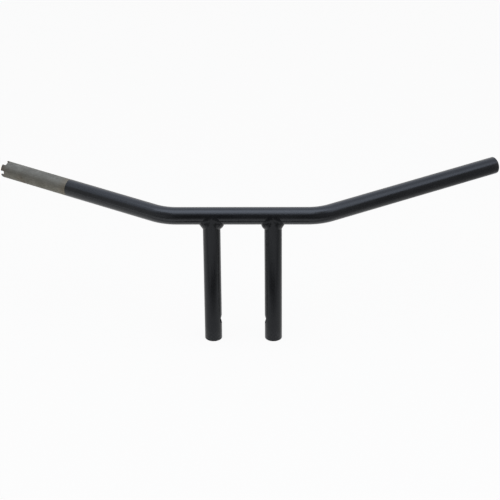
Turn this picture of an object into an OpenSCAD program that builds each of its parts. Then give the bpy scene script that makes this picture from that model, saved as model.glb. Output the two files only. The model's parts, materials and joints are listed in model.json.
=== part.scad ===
// Welded motorcycle handlebar of the T kind, in millimetres.
// Origin: midway between the two riser feet, on the plane they bolt down to.
// +Z runs up the risers, +X towards the clutch end, and the arms sweep back to +Y, towards the rider.

/* [Tube] */
// Outside diameter of the tube that the bar and both risers are cut from
tube_od = 25.4; // [22:0.1:32]
// Wall thickness of that tube
tube_wall = 3.05; // [2.4:0.05:4.5]

/* [Cross tube] */
// Distance between the two bend corners, on the tube's axis
centre_span = 224.5; // [190:0.5:300]
// Angle by which each arm sweeps back
sweep = 32; // [10:0.5:45]
// Radius of each bend, on the tube's axis
bend_radius = 63.5; // [45:0.5:90]
// Length of the clutch arm, from its bend corner to its end
clutch_arm = 313; // [230:1:420]
// How much shorter the throttle arm is, which leaves room for the sensor's flange
throttle_setback = 21; // [0:0.1:40]
// Rounding of the outer rim at both ends of the bar
end_round = 1.5; // [0.3:0.1:2]

/* [Throttle end] */
// Width of the two wide slots, at the top and bottom of the throttle end
wide_slot_width = 12; // [6:0.1:14]
// Width of the two narrow slots, at its front and rear
narrow_slot_width = 7; // [4:0.1:9]
// Depth of each slot, along the bar
slot_depth = 6.6; // [3:0.1:12]
// Turn of the slots about the arm's axis, which brings the front one down
slot_turn = 4; // [0:1:90]

/* [Risers] */
// Distance between the two risers' axes
riser_spacing = 88.9; // [70:0.1:120]
// Height of the bar's axis above the riser feet
rise = 203.2; // [140:0.1:360]
// Rounding of the outer rim at each riser foot
foot_round = 1; // [0.4:0.1:2]
// Gap between the coped end of a riser and the bar, which the weld bridges
fit_up_gap = 0.2; // [0.1:0.05:0.5]

/* [Wiring holes] */
// Diameter of the wire hole in the inner side of each riser
wire_hole_d = 14.3; // [8:0.1:15]
// Height of the wire hole's centre above the foot
wire_hole_height = 32; // [31:0.5:80]
// Diameter of the hole through which the wires drop from the bar into a riser
drop_hole_d = 12.7; // [8:0.1:16]
// Width of the slot under each arm, where a switch housing's wires go in
entry_slot_width = 9.5; // [6:0.1:12]
// Length of that slot, along the arm
entry_slot_length = 22; // [14:0.5:40]
// Distance from the arm's end to the middle of that slot
entry_slot_inset = 165; // [135:1:210]

/* [Bungs] */
// Length of the bung in each riser foot
bung_length = 22; // [14:0.5:23]
// Clearance all round the bung in the riser
bung_clearance = 0.1; // [0.05:0.05:0.3]
// Diameter of the tapped hole, at the crests of its thread
thread_bore_d = 10.72; // [8:0.01:13]
// Depth of the chamfer at each mouth of the tapped hole
thread_chamfer = 0.4; // [0.2:0.1:1.6]
// Depth of the groove that the bung's closing weld fills
seam_depth = 1; // [0.5:0.1:1.4]

/* [Riser welds] */
// Reach of the weld along the bar, at the sides of the riser
weld_leg_bar = 5.5; // [3:0.1:9]
// Reach of the weld up round the bar, at the front and rear
weld_leg_cap = 7; // [3:0.1:9]
// Reach of the weld down the riser
weld_leg_riser = 8; // [3:0.1:12]
// Height of the weld's crown over a straight fillet at the sides of the riser
weld_crown = 0.4; // [0:0.1:1.5]
// Height of the weld's crown where bar and riser run flush, at the front and rear
weld_cap = 1.6; // [1:0.1:2.5]
// Number of ripples round each weld
weld_ripples = 28; // [12:1:36]
// Height of a ripple, from its middle to its top
weld_ripple_height = 0.2; // [0:0.05:0.4]

/* [Hidden] */
$fn = 96;

COAT = [0.11, 0.11, 0.12];
STEEL = [0.45, 0.44, 0.42];
THROTTLE = -1;
CLUTCH = 1;

tube_r = tube_od / 2;
bore_r = tube_r - tube_wall;
bend_tangent = bend_radius * tan(sweep / 2);
half_straight = centre_span / 2 - bend_tangent;
throttle_arm = clutch_arm - throttle_setback;
end_rim = min(end_round, 0.7 * tube_wall);

// Flat ring that stays between the foot's rounded rim and its weld groove
foot_land = 0.4;
foot_rim = min(foot_round, tube_wall - seam_depth - foot_land);
bung_r = bore_r - bung_clearance;
thread_r = thread_bore_d / 2;

// How far a cutting shape runs past the face that it cuts
overcut = 1;
// How far the straight lengths run into the bends, and how much thicker a bend's wall is on each face
bend_lap = 0.8;
bend_swell = 0.05;

// Stations for each ripple of a weld, points across its face and steps along its seat on the bar
ripple_stations = 4;
face_points = 5;
seat_steps = 3;
// Clearance between a weld's seat and the two tubes' skins
weld_clearance = 0.03;
// Share of the tube's radius over which the seam's two peaks are rounded
seam_blend = 0.22;

weld_stations = weld_ripples * ripple_stations;
skin_r = tube_r + weld_clearance;

function arm_length(side) = side == CLUTCH ? clutch_arm : throttle_arm;
function riser_x(side) = side * riser_spacing / 2;

// Section of the tube, square to its axis, with its wall thickened on both faces
module tube_ring(swell = 0) {
    difference() {
        circle(r = tube_r + swell);
        circle(r = bore_r - swell);
    }
}

// Half section of a straight tube whose far outer rim is rounded, turned about the Y axis of the sketch
module tube_half_section(length, rim) {
    translate([bore_r, 0]) {
        square([tube_wall - rim, length]);
        square([tube_wall, length - rim]);
        translate([tube_wall - rim, length - rim])
            circle(r = rim);
    }
}

// Moves a shape made for the clutch side of the bar's axis to one side of the bar
module on_side(side) {
    mirror([side == CLUTCH ? 0 : 1, 0, 0])
        translate([0, 0, rise])
            children();
}

// Puts +X on an arm's axis, starting at its bend corner
module on_arm(side) {
    on_side(side)
        translate([centre_span / 2, 0, 0])
            rotate([0, 0, sweep])
                children();
}

module straight_tube() {
    translate([0, 0, rise])
        rotate([0, 90, 0])
            linear_extrude(height = 2 * (half_straight + bend_lap), center = true)
                tube_ring();
}

module bend_tube(side) {
    on_side(side)
        translate([half_straight, bend_radius, 0])
            rotate([0, 0, -90])
                rotate_extrude(angle = sweep)
                    translate([bend_radius, 0])
                        tube_ring(bend_swell);
}

module arm_tube(side) {
    on_arm(side)
        translate([bend_tangent - bend_lap, 0, 0])
            rotate([0, 90, 0])
                rotate_extrude()
                    tube_half_section(arm_length(side) - bend_tangent + bend_lap, end_rim);
}

// Cut straight across the throttle end, which leaves two opposite slots
module end_cut(width, turn) {
    on_arm(THROTTLE)
        translate([throttle_arm - slot_depth, 0, 0])
            rotate([turn, 0, 0])
                translate([0, -width / 2, -tube_od])
                    cube([slot_depth + overcut, width, 2 * tube_od]);
}

module throttle_slots() {
    end_cut(wide_slot_width, slot_turn);
    end_cut(narrow_slot_width, slot_turn + 90);
}

module drop_hole(side) {
    translate([riser_x(side), 0, rise - tube_od])
        cylinder(d = drop_hole_d, h = tube_od);
}

module entry_slot(side) {
    flank = entry_slot_length - entry_slot_width;
    on_arm(side)
        translate([arm_length(side) - entry_slot_inset, 0, -tube_od]) {
            for (x = [-flank / 2, flank / 2])
                translate([x, 0, 0])
                    cylinder(d = entry_slot_width, h = tube_od);
            translate([-flank / 2, -entry_slot_width / 2, 0])
                cube([flank, entry_slot_width, tube_od]);
        }
}

module cross_tube() {
    color(COAT)
        difference() {
            union() {
                straight_tube();
                for (side = [THROTTLE, CLUTCH]) {
                    bend_tube(side);
                    arm_tube(side);
                }
            }
            for (side = [THROTTLE, CLUTCH]) {
                drop_hole(side);
                entry_slot(side);
            }
            throttle_slots();
        }
}

// The space that the bar takes at a riser's coped end
module cope(side) {
    translate([riser_x(side), 0, rise])
        rotate([0, 90, 0])
            cylinder(r = tube_r + fit_up_gap, h = 2 * tube_od, center = true);
}

module riser(side) {
    color(COAT)
        difference() {
            translate([riser_x(side), 0, rise])
                rotate([180, 0, 0])
                    rotate_extrude()
                        tube_half_section(rise, foot_rim);
            translate([riser_x(side), 0, 0])
                cylinder(r1 = bore_r + seam_depth, r2 = bore_r, h = seam_depth);
            translate([riser_x(side), 0, wire_hole_height])
                rotate([0, -side * 90, 0])
                    cylinder(d = wire_hole_d, h = tube_od);
            cope(side);
        }
}

// The weld follows the seam of two equal tubes, at angle a round the riser: its toe on the riser lies below
// the seam, and its toe on the bar lies outward from the seam along the bar's skin.
function seam_z(a) = rise - skin_r * sqrt(pow(cos(a), 2) + pow(seam_blend, 2));
function seam_arc(a) = asin(sin(a));
function bar_skin(x, arc) = [x, skin_r * sin(arc), rise - skin_r * cos(arc)];
function riser_toe(a) = [skin_r * cos(a), skin_r * sin(a), seam_z(a) - weld_leg_riser];
// Point of the weld's seat on the bar, from the seam at out = 0 to the toe at out = 1
function bar_seat(a, out) =
    let (reach = out * (weld_leg_bar + (weld_leg_cap - weld_leg_bar) * pow(sin(a), 2)))
    bar_skin((skin_r + reach) * cos(a), seam_arc(a) + reach / skin_r * 180 / PI * sin(a));
function unit(v) = v / norm(v);
// Outward direction of the weld's face, half way between the two tubes' skins
function weld_out(a) = unit([cos(a), 2 * sin(a), -abs(cos(a))]);
function weld_height(a) =
    weld_crown + (weld_cap - weld_crown) * pow(sin(a), 2) + weld_ripple_height * cos(weld_ripples * a);
// Point of the weld's face: a parabola from the riser's toe to the bar's toe
function weld_face(a, t) =
    let (low = riser_toe(a), high = bar_seat(a, 1), pull = (low + high) / 2 + 2 * weld_height(a) * weld_out(a))
    pow(1 - t, 2) * low + 2 * t * (1 - t) * pull + pow(t, 2) * high;
function weld_ring(a) = concat(
    [for (i = [0 : face_points - 1]) weld_face(a, i / (face_points - 1))],
    [for (i = [1 : seat_steps]) bar_seat(a, 1 - i / seat_steps)]);

module riser_weld(side) {
    ring = face_points + seat_steps;
    points = [for (s = [0 : weld_stations - 1]) each weld_ring(360 * s / weld_stations)];
    faces = [for (s = [0 : weld_stations - 1], i = [0 : ring - 1])
        let (a = s * ring, b = ((s + 1) % weld_stations) * ring, j = (i + 1) % ring)
        each [[a + i, b + i, b + j], [a + i, b + j, a + j]]];
    color(COAT)
        translate([riser_x(side), 0, 0])
            polyhedron(points, faces);
}

module bung(side) {
    color(STEEL)
        translate([riser_x(side), 0, 0])
            rotate_extrude()
                polygon([
                    [thread_r + thread_chamfer, 0],
                    [bung_r - seam_depth, 0],
                    [bung_r, seam_depth],
                    [bung_r, bung_length],
                    [thread_r + thread_chamfer, bung_length],
                    [thread_r, bung_length - thread_chamfer],
                    [thread_r, thread_chamfer]]);
}

module bung_weld(side) {
    color(COAT)
        translate([riser_x(side), 0, 0])
            rotate_extrude()
                polygon([
                    [bung_r - seam_depth, 0],
                    [bore_r + seam_depth, 0],
                    [bore_r, seam_depth],
                    [bung_r, seam_depth]]);
}

cross_tube();
riser(THROTTLE);  // throttle_riser
riser(CLUTCH);  // clutch_riser
riser_weld(THROTTLE);  // throttle_riser_weld
riser_weld(CLUTCH);  // clutch_riser_weld
bung(THROTTLE);  // throttle_bung
bung(CLUTCH);  // clutch_bung
bung_weld(THROTTLE);  // throttle_bung_weld
bung_weld(CLUTCH);  // clutch_bung_weld
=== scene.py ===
"""Looks of a welded motorcycle handlebar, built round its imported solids.

Lengths are in millimetres until a mesh is made, and every mesh is in metres, in the part's own frame:
+Z up the risers, +X towards the clutch end, +Y back towards the rider.
"""
import json
import math
from typing import NamedTuple

import bmesh
import bpy
from mathutils import Matrix, Vector, noise


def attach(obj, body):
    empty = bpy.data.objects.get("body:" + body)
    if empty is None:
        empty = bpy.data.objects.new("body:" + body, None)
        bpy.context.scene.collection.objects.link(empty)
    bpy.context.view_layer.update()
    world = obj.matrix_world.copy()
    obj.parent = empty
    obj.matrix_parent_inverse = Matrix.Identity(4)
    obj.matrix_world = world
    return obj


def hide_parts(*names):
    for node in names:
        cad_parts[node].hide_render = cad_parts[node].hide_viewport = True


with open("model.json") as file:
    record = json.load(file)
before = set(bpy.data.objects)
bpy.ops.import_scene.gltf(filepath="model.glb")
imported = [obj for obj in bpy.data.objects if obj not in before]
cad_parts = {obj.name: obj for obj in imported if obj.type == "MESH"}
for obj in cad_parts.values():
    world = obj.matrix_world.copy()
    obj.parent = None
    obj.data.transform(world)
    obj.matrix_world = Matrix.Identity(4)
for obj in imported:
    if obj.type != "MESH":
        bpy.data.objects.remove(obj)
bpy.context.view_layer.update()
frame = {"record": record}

MM = 0.001
UP = Vector((0, 0, 1))
THROTTLE = -1
CLUTCH = 1
SIDE_NAMES = {THROTTLE: "throttle", CLUTCH: "clutch"}

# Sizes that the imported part's mounts state
MOUNTS = {mount["name"]: mount for mount in frame["record"]["mounts"]}
TUBE_R = MOUNTS["clutch_grip_seat"]["dims"]["r_mm"]
BORE_R = MOUNTS["clutch_end_bore"]["dims"]["r_mm"]
RISE = MOUNTS["clutch_grip_seat"]["pos_m"][2] / MM
SWEEP = math.atan2(*reversed(MOUNTS["clutch_grip_seat"]["axis"][:2]))
RISER_X = MOUNTS["riser_bolts"]["dims"]["spacing_x_mm"] / 2
THREAD_R = MOUNTS["riser_bolts"]["dims"]["hole_r_mm"]
WIRE_HOLE_R = MOUNTS["clutch_wire_hole"]["dims"]["r_mm"]
WIRE_HOLE_Z = MOUNTS["clutch_wire_hole"]["pos_m"][2] / MM

# Cross tube: the span is from bend corner to bend corner
CENTRE_SPAN = 224.5
BEND_RADIUS = 63.5
BEND_TANGENT = BEND_RADIUS * math.tan(SWEEP / 2)
BEND_ARC = BEND_RADIUS * SWEEP
HALF_STRAIGHT = CENTRE_SPAN / 2 - BEND_TANGENT
END_ROUND = 1.5
MOUTH_BREAK = 0.35

# Edge of the coat: where it is, how it steps up and how far it wanders round the tube
BARE_LENGTH = 120.5
COAT_THICKNESS = 0.12
BARE_R = TUBE_R - COAT_THICKNESS
COAT_EDGE_RUN = 0.1  # length over which the coat steps up
COAT_EDGE_CLEAR = 4.0  # no other ring of points comes nearer to the edge
COAT_EDGE_WANDER = 0.3
COAT_EDGE_LOBES = 2.2
COAT_EDGE_SEED = 7.3

# Slots in the throttle end, oblong wire entries under the arms and drop holes over the risers
SLOT_WIDTH_UPRIGHT = 12.0
SLOT_WIDTH_LEVEL = 7.0
SLOT_DEPTH = 6.6
SLOT_TURN = math.radians(4)
SLOT_CORNER = 0.9
LEAST_POINT_GAP = 0.02  # keeps the points apart where two round corners meet
ENTRY_SLOT_WIDTH = 9.5
ENTRY_SLOT_LENGTH = 22.0
ENTRY_SLOT_CORNER = ENTRY_SLOT_WIDTH / 2 - LEAST_POINT_GAP / 2
ENTRY_SLOT_INSET = 165.0
DROP_HOLE_R = 6.35

# Risers, bungs and their closing welds
FOOT_ROUND = 1.0
FIT_UP_GAP = 0.2  # between a riser's coped end and the bar
BUNG_LENGTH = 22.0
BUNG_CLEARANCE = 0.1
BUNG_R = BORE_R - BUNG_CLEARANCE
SEAM_DEPTH = 1.0
THREAD_PITCH = 25.4 / 13
THREAD_DEPTH = 0.99
THREAD_ROOT_FLAT = THREAD_PITCH / 8
THREAD_HALF_ANGLE = math.radians(30)
THREAD_CHAMFER = 0.4

# Riser welds: legs along bar and riser, and crown over a straight face. The cap is at front and rear.
WELD_SINK = 0.1  # how deep the weld's seats lie in the tubes
WELD_SKIN_R = TUBE_R - WELD_SINK
WELD_LEG_RISER = 8.0
WELD_LEG_INNER = {THROTTLE: 5.9, CLUTCH: 5.0}
WELD_LEG_OUTER = {THROTTLE: 5.7, CLUTCH: 4.3}
WELD_LEG_CAP = 9.5
WELD_CROWN_INNER = {THROTTLE: 0.8, CLUTCH: 1.0}
WELD_CROWN_OUTER = {THROTTLE: -0.3, CLUTCH: -0.45}
WELD_CROWN_CAP = 2.1
WELD_CAP_SKEW = 1.6  # shifts the cap's highest place towards the bar
WELD_FACE_TILT = 2  # leans the crown to the front and to the rear
WELD_SEAM_BLEND = 0.22  # rounds the seam where it is highest
WELD_RIPPLES = 28
WELD_RIPPLE_HEIGHT = 0.07
WELD_RIPPLE_LEAD = 2.4  # phase by which a ripple's middle runs ahead of its ends
WELD_LUMP_HEIGHT = 0.15
WELD_LUMP_SIZE = 6.0
WELD_LUMP_SEED = 3.1
WELD_LUMP_ON_BAR = 0.05
WELD_LUMP_ON_RISER = -0.06
WELD_DRIFT = 0.06
WELD_DRIFT_LOBES = 1.3
WELD_DRIFT_SEED = 9.4

# How far wear reaches from a rim or a hole
RIM_WEAR_REACH = 3.0
HOLE_WEAR_REACH = 1.2

# Fineness of the meshes
ROUND_STEPS = 144
BEND_STEPS = 28
STRAIGHT_STEP = 12.0
HOLE_STEP = 1.5
RIM_STEPS = 6
SLOT_CORNER_STEPS = 6
ENTRY_CORNER_STEPS = 12
DROP_HOLE_STEPS = 48
WIRE_HOLE_STEPS = 64
WELD_STATIONS = WELD_RIPPLES * 16
WELD_FACE_STEPS = 22
WELD_SEAT_STEPS = 4
THREAD_STEPS = 14
SHARP_ANGLE = math.radians(38)


class Noise(NamedTuple):
    """Noise of so many cells a metre. Its stretch scales a place along the three axes first."""
    cells: float
    detail: float
    roughness: float = 0.5
    stretch: tuple = None


class Patch(NamedTuple):
    """Colour over another: it starts at one value of a noise or length, and has its full share at another."""
    colour: tuple
    start: float
    full: float
    share: float


# Spans that most heights of a noise lie in
NOISE_MIDDLE = (0.3, 0.7)
NOISE_WIDE = (0.25, 0.75)

# Powder coat, with bump heights in millimetres as in the other finishes
COAT_TONES = ((0.0080, 0.0083, 0.0092), (0.0125, 0.0130, 0.0142))
COAT_SPECKS = Patch((0.030, 0.031, 0.033), start=0.66, full=0.74, share=0.35)
COAT_WEAR = Patch((0.060, 0.060, 0.060), start=0.46, full=0.62, share=0.6)
COAT_CLOUD_NOISE = Noise(22, detail=4)
COAT_GRAIN_NOISE = Noise(1400, detail=2)
COAT_PEEL_NOISE = Noise(420, detail=2)
COAT_WEAR_NOISE = Noise(320, detail=4)
COAT_PEEL_HEIGHT = 0.10
COAT_GRAIN_HEIGHT = 0.03
COAT_ROUGHNESS = (0.20, 0.28)
COAT_GLOSS_TINT = (0.90, 0.94, 1.0)
BAR_GLOSS = 0.5
# The risers' coat is a copy of the bar's with less gloss, which darkens the risers' reflections as painted
# shade.
RISER_SHADED_GLOSS = 0.27

# Bare drawn steel. The last two patches start at lengths from the coat's edge and from the bar's end.
STEEL_TONES = ((0.155, 0.149, 0.126), (0.218, 0.210, 0.182))
STEEL_TARNISH = Patch((0.120, 0.113, 0.093), start=0.42, full=0.70, share=0.45)
STEEL_BRIGHT_LINES = Patch((0.265, 0.257, 0.228), start=0.35, full=0.75, share=0.35)
STEEL_RUST = Patch((0.125, 0.090, 0.062), start=0.58, full=0.72, share=0.5)
STEEL_EDGE_TINT = Patch((0.185, 0.150, 0.105), start=-14.0, full=-1.0, share=0.5)
STEEL_TIP_TINT = Patch((0.13, 0.092, 0.068), start=9.0, full=1.0, share=0.6)
STEEL_LINE_NOISE = Noise(900, detail=4, stretch=(0.03, 1, 1))
STEEL_CLOUD_NOISE = Noise(60, detail=5)
STEEL_MOTTLE_NOISE = Noise(260, detail=5, roughness=0.65)
STEEL_RUST_NOISE = Noise(48, detail=4, roughness=0.6)
RUST_BREAK_SPAN = (0.35, 0.6)
RUST_BREAK_SHARES = (0.3, 1.0)
STEEL_LINE_HEIGHT = 0.05
STEEL_MOTTLE_HEIGHT = 0.04
STEEL_ROUGHNESS = (0.50, 0.66)
STEEL_METALLIC = 0.85

# Mill scale in the bores
SCALE_TONES = ((0.075, 0.072, 0.068), (0.15, 0.145, 0.135))
SCALE_RUST = Patch((0.095, 0.062, 0.045), start=0.55, full=0.72, share=0.6)
SCALE_STREAK_NOISE = Noise(700, detail=4, stretch=(0.02, 1, 1))
SCALE_RUST_NOISE = Noise(150, detail=5)
SCALE_STREAK_HEIGHT = 0.06
SCALE_ROUGHNESS = (0.48, 0.68)
SCALE_METALLIC = 0.7

# Turned steel of the bungs
TURNED_TONES = ((0.30, 0.295, 0.275), (0.42, 0.415, 0.395))
TURNED_STAIN = Patch((0.20, 0.15, 0.11), start=0.58, full=0.72, share=0.5)
TURNED_MARK_NOISE = Noise(2600, detail=2, stretch=(1, 1, 0.01))
TURNED_CLOUD_NOISE = Noise(130, detail=4)
TURNED_STAIN_NOISE = Noise(240, detail=4)
TURNED_MARK_HEIGHT = 0.03
TURNED_ROUGHNESS = (0.30, 0.46)
TURNED_METALLIC = 1.0

# Floor, surroundings and lamp
WHITE = (1.0, 1.0, 1.0)
FLOOR_Z = -0.5
FLOOR_SIZE = 24000.0
FLOOR_COLOUR = (0.82, 0.82, 0.82)
FLOOR_WHITE_SEEN = 0.93
FLOOR_WHITE_MIRRORED = 0.2
AMBIENT_COLOUR = (0.35, 0.35, 0.35)
KEY_SIZE = (4200.0, 2070.0)
KEY_PLACE = (250.0, -690.0, 2250.0)
KEY_RADIANCE = 1.5
KEY_COLOUR = (0.95, 0.985, 1.06)

# Cards that only gloss shows: the light of each, and its share of that at places along X and along Y
EVEN = ((-1.0, 1.0), (1.0, 1.0))
CARD_REACH = 3200.0
WALL_REAR = 600.0
WALL_LIGHT = (0.4, 0.4, 0.4)
WALL_SHARES_X = ((-2200.0, 1.0), (-200.0, 0.0), (200.0, 0.0), (1500.0, 0.5))
CEILING_Z = 2400.0
CEILING_HALF_WIDTH = 4500.0
CEILING_REAR = 5000.0
CEILING_LIGHT = (2.46, 2.66, 3.05)
CEILING_SHARES_X = ((-1750.0, 0.35), (-1250.0, 1.0), (500.0, 1.0), (1600.0, 0.65))
CEILING_SHARES_Y = ((-2200.0, 0.05), (-500.0, 1.0), (100.0, 1.0), (1000.0, 0.4))
FLOOR_CARD_REAR = 250.0
FLOOR_CARD_Z = 2.0
FLOOR_CARD_LIGHT = (1.1, 1.1, 1.1)
FLOOR_CARD_SHARES_X = ((100.0, 1.0), (600.0, 0.3))
FLOOR_CARD_SHARES_Y = ((-650.0, 0.2), (-350.0, 1.0), (-200.0, 0.8),
                       (-150.0, 0.35), (-110.0, 0.4), (-75.0, 0.8))
FLAG_NEAR = 700.0
FLAG_FAR = 1700.0
FLAG_FRONT = -2200.0
FLAG_REAR = -650.0
FLAG_Z = CEILING_Z - 5.0
FLAG_LIGHT = (0.3, 0.3, 0.3)
DARK_STRIP_LOW = (-110.0, -220.0)
DARK_STRIP_HIGH = (110.0, -130.0)
DARK_STRIP_Z = 4.0
DARK_STRIP_LIGHT = (0.06, 0.06, 0.06)

# Camera, fitted to the photograph
IMAGE_PX = 500
FOCAL_PX = 2064.0
SENSOR_WIDTH = 36.0
CAMERA_TARGET = Vector((10.74, 0.0, 147.2))
CAMERA_DISTANCE = 3000.0
CAMERA_AZIMUTH = math.radians(1.02)
CAMERA_ELEVATION = math.radians(28.35)
CAMERA_ROLL = math.radians(-0.52)
CAMERA_CLIP_NEAR = 50.0
CAMERA_CLIP_FAR = 60000.0


# Mesh helpers

def lerp(first, second, share):
    """Value at a share of the way from first to second."""
    return first + (second - first) * share


def fade(distance, extent):
    """1 at no distance, falling smoothly to 0 at the extent."""
    share = max(0.0, 1 - abs(distance) / extent)
    return share * share * (3 - 2 * share)


def turns(count):
    """Angles that divide a full turn into equal steps."""
    return [2 * math.pi * k / count for k in range(count)]


def rim_arc(rim):
    """(inset from the end face, drop below the full radius) along a quarter-round rim, face to side."""
    for k in range(RIM_STEPS + 1):
        turn = math.pi / 2 * k / RIM_STEPS
        yield rim * (1 - math.cos(turn)), rim * (1 - math.sin(turn))


def mesh_piece(name, points, faces, slots=None, materials=()):
    """New object from points in millimetres. slots gives the material slot of each face."""
    mesh = bpy.data.meshes.new(name)
    mesh.from_pydata([Vector(point) * MM for point in points], [], faces)
    for material in materials:
        mesh.materials.append(material)
    if slots:
        mesh.polygons.foreach_set("material_index", slots)
    solid = bmesh.new()
    solid.from_mesh(mesh)
    bmesh.ops.recalc_face_normals(solid, faces=solid.faces)
    solid.to_mesh(mesh)
    solid.free()
    piece = bpy.data.objects.new(name, mesh)
    bpy.context.scene.collection.objects.link(piece)
    return piece


def ring_piece(name, rings, band_slots=None, materials=()):
    """Closed solid through rings of points. Each ring joins the next, and the last joins the first."""
    count = len(rings[0])
    faces = []
    slots = []
    for i in range(len(rings)):
        first = i * count
        second = (i + 1) % len(rings) * count
        for k in range(count):
            after = (k + 1) % count
            faces.append((first + k, first + after, second + after, second + k))
            slots.append(band_slots[i] if band_slots else 0)
    points = [point for ring in rings for point in ring]
    return mesh_piece(name, points, faces, slots, materials)


def prism(name, outline, place, slot, materials):
    """Cutter with a flat outline, one unit deep both ways along Z before place puts it where it cuts."""
    count = len(outline)
    points = [place @ Vector((x, y, z)) for z in (-1, 1) for x, y in outline]
    faces = [tuple(range(count)), tuple(range(count, 2 * count))]
    for k in range(count):
        after = (k + 1) % count
        faces.append((k, after, count + after, count + k))
    return mesh_piece(name, points, faces, [slot] * len(faces), materials)


def slot_outline(length, width, corner, steps):
    """Outline of a flat slot along X with rounded corners, centred on the origin."""
    outline = []
    for quarter, (x, y) in enumerate(((1, 1), (-1, 1), (-1, -1), (1, -1))):
        centre_x = x * (length / 2 - corner)
        centre_y = y * (width / 2 - corner)
        for k in range(steps + 1):
            turn = math.pi / 2 * (quarter + k / steps)
            outline.append((centre_x + corner * math.cos(turn), centre_y + corner * math.sin(turn)))
    return outline


def round_outline(radius, steps):
    """Outline of a round hole, centred on the origin."""
    return [(radius * math.cos(turn), radius * math.sin(turn)) for turn in turns(steps)]


def cut(piece, cutters):
    """Takes the cutters out of the piece, for good."""
    for cutter in cutters:
        boolean = piece.modifiers.new(cutter.name, "BOOLEAN")
        boolean.operation = "DIFFERENCE"
        boolean.solver = "EXACT"
        boolean.object = cutter
    whole = piece.data
    evaluated = piece.evaluated_get(bpy.context.evaluated_depsgraph_get())
    drilled = bpy.data.meshes.new_from_object(evaluated)
    piece.modifiers.clear()
    piece.data = drilled
    bpy.data.meshes.remove(whole)
    for cutter in cutters:
        mesh = cutter.data
        bpy.data.objects.remove(cutter)
        bpy.data.meshes.remove(mesh)


def finish_mesh(piece, unroll, wear):
    """Smooths the piece and gives each point its unrolled place, in metres, and its share of wear."""
    mesh = piece.data
    places = [unroll(vertex.co / MM) for vertex in mesh.vertices]
    mesh.attributes.new("unrolled", "FLOAT_VECTOR", "POINT")
    mesh.attributes["unrolled"].data.foreach_set("vector", [x * MM for place in places for x in place])
    mesh.attributes.new("wear", "FLOAT", "POINT")
    mesh.attributes["wear"].data.foreach_set("value", [wear(place) for place in places])
    mesh.polygons.foreach_set("use_smooth", [True] * len(mesh.polygons))
    mesh.set_sharp_from_angle(angle=SHARP_ANGLE)


def no_wear(place):
    """Wear of a piece that has no edge to rub."""
    return 0.0


def dress(piece, node):
    """Hides the solid that the piece stands for, and makes the piece ride with the part."""
    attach(piece, "root")
    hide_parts(node)


# Cross tube

def half_length(side):
    """Length of the bar's axis from its middle to one end, worked out from the grip's seat on that arm."""
    seat = MOUNTS[SIDE_NAMES[side] + "_grip_seat"]
    seat_middle = (abs(seat["pos_m"][0]) / MM - CENTRE_SPAN / 2) / math.cos(SWEEP)
    arm = seat_middle + seat["dims"]["length_mm"] / 2 + END_ROUND
    return HALF_STRAIGHT + BEND_ARC + arm - BEND_TANGENT


def axis_frame(run):
    """Point of the bar's axis, a signed length from its middle, and the rearward direction square to it."""
    side = CLUTCH if run >= 0 else THROTTLE
    straight = min(abs(run), HALF_STRAIGHT)
    heading = min(max(abs(run) - HALF_STRAIGHT, 0), BEND_ARC) / BEND_RADIUS
    arm = max(abs(run) - HALF_STRAIGHT - BEND_ARC, 0)
    x = straight + BEND_RADIUS * math.sin(heading) + arm * math.cos(heading)
    y = BEND_RADIUS * (1 - math.cos(heading)) + arm * math.sin(heading)
    return Vector((side * x, y, RISE)), Vector((-side * math.sin(heading), math.cos(heading), 0))


def unroll_bar(point):
    """(length along the axis from its middle, place to the rear, place upward) of a point of the bar."""
    side = CLUTCH if point.x >= 0 else THROTTLE
    x, y = abs(point.x), point.y
    past = x - CENTRE_SPAN / 2
    arm = past * math.cos(SWEEP) + y * math.sin(SWEEP)
    if x <= HALF_STRAIGHT:
        run = x
        rear = y
    elif arm >= BEND_TANGENT:
        run = HALF_STRAIGHT + BEND_ARC + arm - BEND_TANGENT
        rear = y * math.cos(SWEEP) - past * math.sin(SWEEP)
    else:
        heading = math.atan2(x - HALF_STRAIGHT, BEND_RADIUS - y)
        run = HALF_STRAIGHT + BEND_RADIUS * heading
        rear = BEND_RADIUS - math.hypot(x - HALF_STRAIGHT, BEND_RADIUS - y)
    return Vector((side * run, rear, point.z - RISE))


def bar_ring(run, radius, wander):
    """Ring of points round the bar's axis. wander shifts each point along the axis by a smooth noise."""
    ring = []
    for turn in turns(ROUND_STEPS):
        lobe_x = COAT_EDGE_LOBES * math.cos(turn)
        lobe_y = COAT_EDGE_LOBES * math.sin(turn)
        shift = wander * noise.noise(Vector((lobe_x, lobe_y, COAT_EDGE_SEED)))
        centre, rear = axis_frame(run + shift)
        ring.append(centre + radius * (math.cos(turn) * rear + math.sin(turn) * UP))
    return ring


def axis_stations(start, stop):
    """Lengths along the axis between two places, close together in the bends."""
    marks = {start, stop}
    for side in SIDE_NAMES:
        for k in range(BEND_STEPS + 1):
            marks.add(side * (HALF_STRAIGHT + BEND_ARC * k / BEND_STEPS))
    spans = sorted(mark for mark in marks if start <= mark <= stop)
    stations = []
    for low, high in zip(spans, spans[1:]):
        steps = max(1, math.ceil((high - low) / STRAIGHT_STEP))
        stations += [lerp(low, high, k / steps) for k in range(steps)]
    return stations + [stop]


def on_arm(side, inset):
    """Matrix with its origin on the arm's axis, inset from its end, X outward along the arm and Z up."""
    centre, rear = axis_frame(side * (half_length(side) - inset))
    outward = Vector((side * rear.y, -side * rear.x, 0))
    turned = Matrix((outward, UP.cross(outward), UP)).transposed()
    return Matrix.Translation(centre) @ turned.to_4x4()


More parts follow.
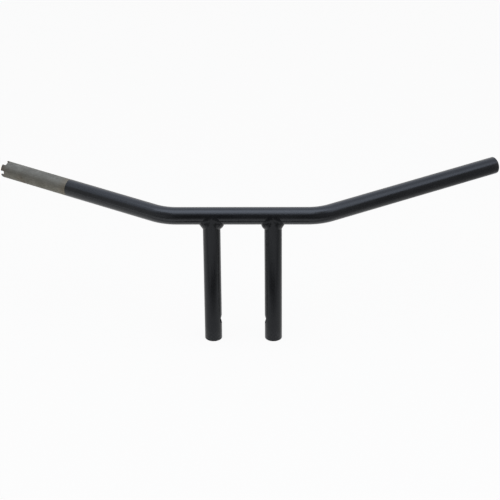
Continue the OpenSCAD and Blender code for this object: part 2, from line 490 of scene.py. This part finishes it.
def make_bar(coat, bare, raw):
    """Bent cross tube: coated, but for the bare and slotted throttle end and the raw bore."""
    COAT, BARE, RAW = range(3)
    materials = (coat, bare, raw)
    left = -half_length(THROTTLE)
    right = half_length(CLUTCH)
    edge = left + BARE_LENGTH
    bare_runs = axis_stations(left + END_ROUND, edge - COAT_EDGE_CLEAR)[1:]
    coated_runs = axis_stations(edge + COAT_EDGE_CLEAR, right - END_ROUND)[:-1]
    bore_runs = axis_stations(left + MOUTH_BREAK, right - MOUTH_BREAK)
    rim = list(rim_arc(END_ROUND))
    rings = [(left, BORE_R + MOUTH_BREAK, 0.0, BARE)]
    rings += [(left + inset, BARE_R - drop, 0.0, BARE) for inset, drop in rim]
    rings += [(run, BARE_R, 0.0, BARE) for run in bare_runs]
    rings += [(edge, BARE_R, COAT_EDGE_WANDER, COAT)]
    rings += [(edge + COAT_EDGE_RUN, TUBE_R, COAT_EDGE_WANDER, COAT)]
    rings += [(run, TUBE_R, 0.0, COAT) for run in coated_runs]
    rings += [(right - inset, TUBE_R - drop, 0.0, COAT) for inset, drop in reversed(rim)]
    rings += [(right, BORE_R + MOUTH_BREAK, 0.0, COAT)]
    rings += [(run, BORE_R, 0.0, RAW) for run in reversed(bore_runs)]
    bar = ring_piece("bar_tube", [bar_ring(run, radius, wander) for run, radius, wander, slot in rings],
                     [slot for run, radius, wander, slot in rings], materials)

    cutters = []
    through_both_walls = Matrix.Scale(2 * TUBE_R, 4, UP)
    slots = (("upright_slot", SLOT_WIDTH_UPRIGHT, 0), ("level_slot", SLOT_WIDTH_LEVEL, math.pi / 2))
    for name, width, roll in slots:
        place = on_arm(THROTTLE, 0) @ Matrix.Rotation(roll - SLOT_TURN, 4, "X") @ through_both_walls
        outline = slot_outline(2 * SLOT_DEPTH, width, SLOT_CORNER, SLOT_CORNER_STEPS)
        cutters.append(prism(name, outline, place, BARE, materials))
    entry = slot_outline(ENTRY_SLOT_LENGTH, ENTRY_SLOT_WIDTH, ENTRY_SLOT_CORNER, ENTRY_CORNER_STEPS)
    drop_hole = round_outline(DROP_HOLE_R, DROP_HOLE_STEPS)
    through_lower_wall = Matrix.Translation((0, 0, -TUBE_R)) @ Matrix.Scale(TUBE_R, 4, UP)
    for side, name in SIDE_NAMES.items():
        place = on_arm(side, ENTRY_SLOT_INSET) @ through_lower_wall
        cutters.append(prism(name + "_entry", entry, place, COAT, materials))
        place = Matrix.Translation((side * RISER_X, 0, RISE)) @ through_lower_wall
        cutters.append(prism(name + "_drop", drop_hole, place, RAW, materials))
    cut(bar, cutters)

    def rim_wear(place):
        return max(fade(place.x - left, RIM_WEAR_REACH), fade(place.x - right, RIM_WEAR_REACH))

    finish_mesh(bar, unroll_bar, rim_wear)
    dress(bar, "cross_tube")


# Risers

def cope_height(radius, turn):
    """Height of a riser's coped end, where it stands clear of the bar."""
    return RISE - math.sqrt((TUBE_R + FIT_UP_GAP) ** 2 - (radius * math.sin(turn)) ** 2)


def riser_ring(side, radius, low, share=0.0):
    """Ring round a riser, at a height low or at a share of the way from there to its coped end."""
    ring = []
    for turn in turns(ROUND_STEPS):
        height = lerp(low, cope_height(radius, turn), share)
        ring.append(Vector((side * RISER_X + radius * math.cos(turn), radius * math.sin(turn), height)))
    return ring


def make_riser(side, coat, raw):
    """Upright tube with a coped top, a rounded foot and a wire hole in its inner side."""
    COAT, RAW = range(2)
    steps = math.ceil(RISE / STRAIGHT_STEP)
    shares = [k / steps for k in range(steps + 1)]
    hole_low = WIRE_HOLE_Z - WIRE_HOLE_R - HOLE_STEP
    hole_high = WIRE_HOLE_Z + WIRE_HOLE_R + HOLE_STEP
    hole_rows = math.ceil((hole_high - hole_low) / HOLE_STEP)
    hole_levels = [lerp(hole_low, hole_high, k / hole_rows) for k in range(hole_rows)]
    rings = [(riser_ring(side, BORE_R + SEAM_DEPTH, 0), COAT)]
    rings += [(riser_ring(side, TUBE_R - drop, inset), COAT) for inset, drop in rim_arc(FOOT_ROUND)]
    rings += [(riser_ring(side, TUBE_R, level), COAT) for level in hole_levels]
    rings += [(riser_ring(side, TUBE_R, hole_high, share), COAT) for share in shares]
    rings += [(riser_ring(side, BORE_R, hole_high, share), RAW) for share in reversed(shares)]
    rings += [(riser_ring(side, BORE_R, level), RAW) for level in (hole_low, SEAM_DEPTH)]
    name = SIDE_NAMES[side]
    riser = ring_piece(name + "_riser_tube", *zip(*rings), (coat, raw))
    inner_side = Matrix.Translation((side * (RISER_X - TUBE_R), 0, WIRE_HOLE_Z))
    place = inner_side @ Matrix.Rotation(math.pi / 2, 4, "Y") @ Matrix.Scale(TUBE_R, 4, UP)
    hole = round_outline(WIRE_HOLE_R, WIRE_HOLE_STEPS)
    cut(riser, [prism(name + "_wire_hole", hole, place, COAT, (coat, raw))])

    def unroll(point):
        return Vector((point.z, point.x - side * RISER_X, point.y))

    def foot_and_hole_wear(place):
        on_inner_side = -side * place.y > 0
        from_hole = math.hypot(place.x - WIRE_HOLE_Z, place.z) - WIRE_HOLE_R
        return max(fade(place.x, RIM_WEAR_REACH), on_inner_side * fade(from_hole, HOLE_WEAR_REACH))

    finish_mesh(riser, unroll, foot_and_hole_wear)
    dress(riser, name + "_riser")


# Riser welds

def weld_section(side, turn):
    """Ring of points across the weld at an angle round the riser: its face, then its seat on the bar."""
    across, along = math.cos(turn), math.sin(turn)
    inward = (1 - side * across) / 2
    lump = noise.noise(Vector((across, along, WELD_LUMP_SEED * side)) * TUBE_R / WELD_LUMP_SIZE)
    drift = WELD_DRIFT * noise.noise(Vector((across, along, WELD_DRIFT_SEED + side)) * WELD_DRIFT_LOBES)

    def by_angle(outer, inner, cap):
        return lerp(lerp(outer[side], inner[side], inward), cap, along ** 2)

    leg_bar = by_angle(WELD_LEG_OUTER, WELD_LEG_INNER, WELD_LEG_CAP)
    leg_bar *= 1 + drift + WELD_LUMP_ON_BAR * lump
    leg_riser = WELD_LEG_RISER * (1 + drift + WELD_LUMP_ON_RISER * lump)
    crown = by_angle(WELD_CROWN_OUTER, WELD_CROWN_INNER, WELD_CROWN_CAP) + WELD_LUMP_HEIGHT * lump
    seam = RISE - WELD_SKIN_R * math.hypot(across, WELD_SEAM_BLEND)
    toe = Vector((WELD_SKIN_R * across, WELD_SKIN_R * along, seam - leg_riser))
    outward = Vector((across, WELD_FACE_TILT * along, -abs(across))).normalized()

    def seat(share):
        out = share * leg_bar
        arc = math.asin(along) + out / WELD_SKIN_R * along
        height = RISE - WELD_SKIN_R * math.cos(arc)
        return Vector(((WELD_SKIN_R + out) * across, WELD_SKIN_R * math.sin(arc), height))

    edge = seat(1)
    ring = []
    for k in range(WELD_FACE_STEPS + 1):
        share = k / WELD_FACE_STEPS
        side_bow = 4 * share * (1 - share)
        cap_bow = math.sin(math.pi * share ** WELD_CAP_SKEW)
        bow = lerp(side_bow, cap_bow, along ** 2)
        ripple = WELD_RIPPLE_HEIGHT * math.cos(WELD_RIPPLES * turn - WELD_RIPPLE_LEAD * bow)
        ring.append(toe.lerp(edge, share) + bow * (crown + ripple) * outward)
    ring += [seat(1 - k / WELD_SEAT_STEPS) for k in range(1, WELD_SEAT_STEPS + 1)]
    return [point + Vector((side * RISER_X, 0, 0)) for point in ring]


def make_riser_weld(side, coat):
    """Fillet weld round the joint of bar and riser, with its ripples and lumps."""
    name = SIDE_NAMES[side]
    sections = [weld_section(side, turn) for turn in turns(WELD_STATIONS)]
    weld = ring_piece(name + "_weld_bead", sections, materials=(coat,))
    finish_mesh(weld, Vector.copy, no_wear)
    dress(weld, name + "_riser_weld")


# Bungs

def thread_radius(turn, height):
    """Radius of the tapped hole: a 60 degree thread with flat crests and roots, chamfered at its mouths."""
    phase = (height / THREAD_PITCH - turn / (2 * math.pi)) % 1
    past_root = max(THREAD_PITCH * abs(phase - 0.5) - THREAD_ROOT_FLAT / 2, 0)
    cut_depth = THREAD_DEPTH - past_root / math.tan(THREAD_HALF_ANGLE)
    mouth = max(THREAD_CHAMFER - height, THREAD_CHAMFER - (BUNG_LENGTH - height), 0)
    return THREAD_R + max(cut_depth, mouth)


def lathe_ring(side, radius, height):
    """Ring round a riser's axis. radius is a number, or a function of the angle and the height."""
    ring = []
    for turn in turns(ROUND_STEPS):
        reach = radius(turn, height) if callable(radius) else radius
        ring.append(Vector((side * RISER_X + reach * math.cos(turn), reach * math.sin(turn), height)))
    return ring


def unroll_lathe(side):
    """Unrolling for a turned piece: (radius, height, length round the axis)."""
    def unroll(point):
        x = point.x - side * RISER_X
        radius = math.hypot(x, point.y)
        return Vector((radius, point.z, TUBE_R * math.atan2(point.y, x)))
    return unroll


def make_bung(side, steel):
    """Turned plug in the riser's foot, with a tapped hole."""
    rows = math.ceil(BUNG_LENGTH / THREAD_PITCH * THREAD_STEPS)
    corners = ((BUNG_R - SEAM_DEPTH, 0), (BUNG_R, SEAM_DEPTH), (BUNG_R, BUNG_LENGTH))
    rings = [lathe_ring(side, radius, height) for radius, height in corners]
    rings += [lathe_ring(side, thread_radius, BUNG_LENGTH * (1 - k / rows)) for k in range(rows + 1)]
    name = SIDE_NAMES[side]
    bung = ring_piece(name + "_bung_nut", rings, materials=(steel,))
    finish_mesh(bung, unroll_lathe(side), no_wear)
    dress(bung, name + "_bung")


def make_bung_weld(side, coat):
    """Ring weld that closes the seam of bung and riser, faced off flush with the foot."""
    name = SIDE_NAMES[side]
    face = ((BUNG_R - SEAM_DEPTH, 0), (BORE_R + SEAM_DEPTH, 0))
    root = ((BORE_R, SEAM_DEPTH), (BUNG_R, SEAM_DEPTH))
    rings = [lathe_ring(side, radius, height) for radius, height in face + root]
    weld = ring_piece(name + "_foot_weld", rings, materials=(coat,))
    finish_mesh(weld, unroll_lathe(side), no_wear)
    dress(weld, name + "_bung_weld")


# Shader helpers

def rgb(red, green, blue):
    """Opaque colour for a shader's socket."""
    return (red, green, blue, 1.0)


def add_node(tree, kind, inputs=None, **settings):
    """New node with its settings, and its inputs set to a value or linked to a socket."""
    made = tree.nodes.new(kind)
    for key, value in settings.items():
        setattr(made, key, value)
    for key, value in (inputs or {}).items():
        if isinstance(value, bpy.types.NodeSocket):
            tree.links.new(value, made.inputs[key])
        else:
            made.inputs[key].default_value = value
    return made


def new_material(name):
    """Material with a Principled shader, and its unrolled place as a socket."""
    material = bpy.data.materials.new(name)
    material.use_nodes = True
    tree = material.node_tree
    shader = tree.nodes["Principled BSDF"]
    place = add_node(tree, "ShaderNodeAttribute", attribute_name="unrolled").outputs["Vector"]
    return material, tree, shader, place


def empty_material(name):
    """Material with no shader yet, and its surface's socket."""
    material = bpy.data.materials.new(name)
    material.use_nodes = True
    tree = material.node_tree
    tree.nodes.remove(tree.nodes["Principled BSDF"])
    return material, tree, tree.nodes["Material Output"].inputs["Surface"]


def noise_at(tree, place, kind):
    """Height of a noise, from 0 to 1. Its stretch scales the place along its three axes first."""
    if kind.stretch:
        place = add_node(tree, "ShaderNodeMapping", {"Vector": place, "Scale": kind.stretch}).outputs[0]
    inputs = {"Vector": place, "Scale": kind.cells, "Detail": kind.detail, "Roughness": kind.roughness}
    return add_node(tree, "ShaderNodeTexNoise", inputs).outputs[0]


def remap(tree, value, low, high, to_low=0.0, to_high=1.0):
    """Maps low..high to to_low..to_high, and holds beyond them."""
    inputs = {"Value": value, "From Min": low, "From Max": high, "To Min": to_low, "To Max": to_high}
    return add_node(tree, "ShaderNodeMapRange", inputs).outputs[0]


def calculate(tree, operation, first, second):
    """Result of a calculation with two numbers or sockets."""
    return add_node(tree, "ShaderNodeMath", {0: first, 1: second}, operation=operation).outputs[0]


def blend_colour(tree, share, first, second):
    """Colour between two colours or colour sockets."""
    mix = add_node(tree, "ShaderNodeMix", {0: share, 6: first, 7: second}, data_type="RGBA")
    return mix.outputs[2]


def two_tone(tree, height, tones):
    """Colour that runs from one tone to the other over most of a noise's heights."""
    dark, light = tones
    return blend_colour(tree, remap(tree, height, *NOISE_MIDDLE), rgb(*dark), rgb(*light))


def add_patch(tree, below, value, patch, thinning=None):
    """Colour with a patch over it. thinning is a socket that the patch's share is multiplied by."""
    share = remap(tree, value, patch.start, patch.full, 0.0, patch.share)
    if thinning is not None:
        share = calculate(tree, "MULTIPLY", share, thinning)
    return blend_colour(tree, share, below, rgb(*patch.colour))


def along_bar(patch, origin):
    """The same patch, with its lengths counted in metres from the bar's middle and not from the origin."""
    return patch._replace(start=(origin + patch.start) * MM, full=(origin + patch.full) * MM)


def add_bump(tree, height, depth, under=None):
    """Normal bumped by a noise, where depth is the bump's full height in millimetres."""
    inputs = {"Height": height, "Distance": depth * MM, "Strength": 1.0}
    if under is not None:
        inputs["Normal"] = under
    return add_node(tree, "ShaderNodeBump", inputs).outputs[0]


def set_metal(tree, shader, colour, metallic, height, roughness, normal):
    """Gives a shader its colour, share of metal, bumps, and a roughness that follows a noise."""
    tree.links.new(colour, shader.inputs["Base Color"])
    shader.inputs["Metallic"].default_value = metallic
    tree.links.new(remap(tree, height, *NOISE_MIDDLE, *roughness), shader.inputs["Roughness"])
    tree.links.new(normal, shader.inputs["Normal"])


# Materials

def coat_material(name, gloss):
    """Satin black powder coat: fine orange peel, slow changes of tone and gloss, thin wear on rims."""
    material, tree, shader, place = new_material(name)
    cloud = noise_at(tree, place, COAT_CLOUD_NOISE)
    grain = noise_at(tree, place, COAT_GRAIN_NOISE)
    peel = noise_at(tree, place, COAT_PEEL_NOISE)
    wear = add_node(tree, "ShaderNodeAttribute", attribute_name="wear").outputs["Fac"]
    tone = two_tone(tree, cloud, COAT_TONES)
    tone = add_patch(tree, tone, grain, COAT_SPECKS)
    tone = add_patch(tree, tone, noise_at(tree, place, COAT_WEAR_NOISE), COAT_WEAR, thinning=wear)
    tree.links.new(tone, shader.inputs["Base Color"])
    tree.links.new(remap(tree, cloud, *NOISE_WIDE, *COAT_ROUGHNESS), shader.inputs["Roughness"])
    shader.inputs["Specular IOR Level"].default_value = gloss
    shader.inputs["Specular Tint"].default_value = rgb(*COAT_GLOSS_TINT)
    normal = add_bump(tree, peel, COAT_PEEL_HEIGHT)
    normal = add_bump(tree, grain, COAT_GRAIN_HEIGHT, under=normal)
    tree.links.new(normal, shader.inputs["Normal"])
    return material


def bare_steel_material():
    """Bare drawn tube, lightly tarnished, with rust blotches and a tint along the coat's edge."""
    material, tree, shader, place = new_material("bare_drawn_steel")
    run = add_node(tree, "ShaderNodeSeparateXYZ", {"Vector": place}).outputs[0]
    lines = noise_at(tree, place, STEEL_LINE_NOISE)
    mottle = noise_at(tree, place, STEEL_MOTTLE_NOISE)
    broken = remap(tree, mottle, *RUST_BREAK_SPAN, *RUST_BREAK_SHARES)
    end = -half_length(THROTTLE)
    steel = two_tone(tree, noise_at(tree, place, STEEL_CLOUD_NOISE), STEEL_TONES)
    steel = add_patch(tree, steel, mottle, STEEL_TARNISH)
    steel = add_patch(tree, steel, lines, STEEL_BRIGHT_LINES)
    steel = add_patch(tree, steel, noise_at(tree, place, STEEL_RUST_NOISE), STEEL_RUST, thinning=broken)
    steel = add_patch(tree, steel, run, along_bar(STEEL_EDGE_TINT, end + BARE_LENGTH))
    steel = add_patch(tree, steel, run, along_bar(STEEL_TIP_TINT, end))
    normal = add_bump(tree, lines, STEEL_LINE_HEIGHT)
    normal = add_bump(tree, mottle, STEEL_MOTTLE_HEIGHT, under=normal)
    set_metal(tree, shader, steel, STEEL_METALLIC, mottle, STEEL_ROUGHNESS, normal)
    return material


def raw_steel_material():
    """Inside of the tube: dark mill scale with lighter streaks along it."""
    material, tree, shader, place = new_material("raw_bore_steel")
    streak = noise_at(tree, place, SCALE_STREAK_NOISE)
    rust = noise_at(tree, place, SCALE_RUST_NOISE)
    steel = two_tone(tree, streak, SCALE_TONES)
    steel = add_patch(tree, steel, rust, SCALE_RUST)
    normal = add_bump(tree, streak, SCALE_STREAK_HEIGHT)
    set_metal(tree, shader, steel, SCALE_METALLIC, rust, SCALE_ROUGHNESS, normal)
    return material


def turned_steel_material():
    """Turned bung: fine tool marks round its axis and a little tarnish."""
    material, tree, shader, place = new_material("turned_bung_steel")
    marks = noise_at(tree, place, TURNED_MARK_NOISE)
    steel = two_tone(tree, noise_at(tree, place, TURNED_CLOUD_NOISE), TURNED_TONES)
    steel = add_patch(tree, steel, noise_at(tree, place, TURNED_STAIN_NOISE), TURNED_STAIN)
    normal = add_bump(tree, marks, TURNED_MARK_HEIGHT)
    set_metal(tree, shader, steel, TURNED_METALLIC, marks, TURNED_ROUGHNESS, normal)
    return material


# Stage, light and camera

def ray_share(tree, seen, mirrored):
    """Share of white for what the camera sees directly, and for what it sees in gloss or through glass."""
    path = add_node(tree, "ShaderNodeLightPath").outputs
    bent = calculate(tree, "MAXIMUM", path["Is Glossy Ray"], path["Is Transmission Ray"])
    bent = calculate(tree, "MULTIPLY", bent, mirrored)
    straight = calculate(tree, "MULTIPLY", path["Is Camera Ray"], seen)
    return calculate(tree, "MAXIMUM", straight, bent)


def level_corners(low, high, z):
    """Corners of a level rectangle between two places, at a height."""
    return [(low[0], low[1], z), (high[0], low[1], z), (high[0], high[1], z), (low[0], high[1], z)]


def make_floor():
    """Pale floor that looks nearly white and keeps the part's shadow."""
    material, tree, surface = empty_material("pale_floor")
    diffuse = add_node(tree, "ShaderNodeBsdfDiffuse", {"Color": rgb(*FLOOR_COLOUR)})
    white = add_node(tree, "ShaderNodeEmission", {"Color": rgb(*WHITE), "Strength": 1.0})
    share = ray_share(tree, FLOOR_WHITE_SEEN, FLOOR_WHITE_MIRRORED)
    mix = add_node(tree, "ShaderNodeMixShader", {0: share, 1: diffuse.outputs[0], 2: white.outputs[0]})
    tree.links.new(mix.outputs[0], surface)
    half = FLOOR_SIZE / 2
    corners = level_corners((-half, -half), (half, half), FLOOR_Z)
    mesh_piece("floor", corners, [(0, 1, 2, 3)], materials=(material,))


def share_along(tree, along, shares):
    """Share of light that is named at places along an axis, and runs evenly between them."""
    first = shares[0][0]
    last = shares[-1][0]
    ramp = add_node(tree, "ShaderNodeValToRGB", {"Fac": remap(tree, along, first * MM, last * MM)})
    marks = ramp.color_ramp.elements
    while len(marks) < len(shares):
        marks.new(0.5)
    for mark, (spot, share) in zip(marks, shares):
        mark.position = (spot - first) / (last - first)
        mark.color = rgb(share, share, share)
    return ramp.outputs["Color"]


def gloss_card(name, corners, faces, light, shares_x, shares_y):
    """Glowing card that only gloss shows, whose light changes along X and along Y."""
    material, tree, surface = empty_material(name)
    place = add_node(tree, "ShaderNodeTexCoord").outputs["Object"]
    along = add_node(tree, "ShaderNodeSeparateXYZ", {"Vector": place}).outputs
    share_x = share_along(tree, along[0], shares_x)
    share_y = share_along(tree, along[1], shares_y)
    strength = calculate(tree, "MULTIPLY", share_x, share_y)
    glow = add_node(tree, "ShaderNodeEmission", {"Color": rgb(*light), "Strength": strength})
    tree.links.new(glow.outputs[0], surface)
    card = mesh_piece(name, corners, faces, materials=(material,))
    card.visible_camera = False
    card.visible_diffuse = False
    card.visible_transmission = False
    card.visible_shadow = False


def flat_card(name, low, high, z, light, shares_x=EVEN, shares_y=EVEN):
    """Level gloss card between two places."""
    gloss_card(name, level_corners(low, high, z), [(0, 1, 2, 3)], light, shares_x, shares_y)


def make_gloss_cards():
    """Cards that shape the gloss.

    They are walls, a ceiling that is brightest over the part, a shaded floor, a dark flag under the ceiling on
    either side, and a dark strip on the floor in front of the risers.
    """
    far = CARD_REACH
    plan = ((-far, WALL_REAR), (-far, -far), (far, -far), (far, WALL_REAR))
    corners = [(x, y, z) for x, y in plan for z in (FLOOR_Z, CEILING_Z)]
    sides = [(2 * k, 2 * k + 2, 2 * k + 3, 2 * k + 1) for k in range(3)]
    gloss_card("wall_cards", corners, sides, WALL_LIGHT, WALL_SHARES_X, EVEN)
    flat_card("ceiling_card", (-CEILING_HALF_WIDTH, -far), (CEILING_HALF_WIDTH, CEILING_REAR), CEILING_Z,
              CEILING_LIGHT, CEILING_SHARES_X, CEILING_SHARES_Y)
    flat_card("floor_card", (-far, -far), (far, FLOOR_CARD_REAR), FLOOR_CARD_Z,
              FLOOR_CARD_LIGHT, FLOOR_CARD_SHARES_X, FLOOR_CARD_SHARES_Y)
    for side, name in SIDE_NAMES.items():
        low_x, high_x = sorted((side * FLAG_NEAR, side * FLAG_FAR))
        flat_card(name + "_flag", (low_x, FLAG_FRONT), (high_x, FLAG_REAR), FLAG_Z, FLAG_LIGHT)
    flat_card("dark_strip", DARK_STRIP_LOW, DARK_STRIP_HIGH, DARK_STRIP_Z, DARK_STRIP_LIGHT)


def make_key_light():
    """Large soft light over the part, a little towards the front."""
    light = bpy.data.lights.new("key", "AREA")
    light.shape = "RECTANGLE"
    light.size, light.size_y = (side * MM for side in KEY_SIZE)
    light.energy = KEY_RADIANCE * math.pi * light.size * light.size_y
    light.color = KEY_COLOUR
    lamp = bpy.data.objects.new("key", light)
    lamp.location = Vector(KEY_PLACE) * MM
    lamp.visible_camera = False
    lamp.visible_glossy = False
    bpy.context.scene.collection.objects.link(lamp)


def make_world():
    """White surroundings to the eye and in gloss, and a dim even light otherwise."""
    world = bpy.data.worlds.new("white_room")
    bpy.context.scene.world = world
    world.use_nodes = True
    tree = world.node_tree
    background = tree.nodes["Background"]
    colour = blend_colour(tree, ray_share(tree, 1.0, 1.0), rgb(*AMBIENT_COLOUR), rgb(*WHITE))
    tree.links.new(colour, background.inputs["Color"])
    background.inputs["Strength"].default_value = 1.0


def make_camera():
    """Camera at the photograph's viewing angle."""
    level = math.cos(CAMERA_ELEVATION)
    back_x = math.sin(CAMERA_AZIMUTH) * level
    back_y = -math.cos(CAMERA_AZIMUTH) * level
    back = Vector((back_x, back_y, math.sin(CAMERA_ELEVATION)))
    right = UP.cross(back).normalized()
    upward = back.cross(right)
    rolled_right = math.cos(CAMERA_ROLL) * right + math.sin(CAMERA_ROLL) * upward
    rolled_up = back.cross(rolled_right)
    data = bpy.data.cameras.new("photo_camera")
    data.sensor_width = SENSOR_WIDTH
    data.lens = FOCAL_PX * SENSOR_WIDTH / IMAGE_PX
    data.clip_start = CAMERA_CLIP_NEAR * MM
    data.clip_end = CAMERA_CLIP_FAR * MM
    camera = bpy.data.objects.new("photo_camera", data)
    turned = Matrix((rolled_right, rolled_up, back)).transposed().to_4x4()
    camera.matrix_world = Matrix.Translation((CAMERA_TARGET + CAMERA_DISTANCE * back) * MM) @ turned
    bpy.context.scene.collection.objects.link(camera)
    bpy.context.scene.camera = camera


make_camera()
bar_coat = coat_material("bar_powder_coat", BAR_GLOSS)
# Shaded copy of the coat for the risers: less gloss, as painted shade on their reflections.
shaded_riser_coat = coat_material("riser_powder_coat", RISER_SHADED_GLOSS)
raw_steel = raw_steel_material()
turned_steel = turned_steel_material()
make_bar(bar_coat, bare_steel_material(), raw_steel)
for riser_side in SIDE_NAMES:
    make_riser(riser_side, shaded_riser_coat, raw_steel)
    make_riser_weld(riser_side, shaded_riser_coat)
    make_bung(riser_side, turned_steel)
    make_bung_weld(riser_side, shaded_riser_coat)
make_floor()
make_gloss_cards()
make_key_light()
make_world()
bpy.context.scene.view_settings.view_transform = "Standard"
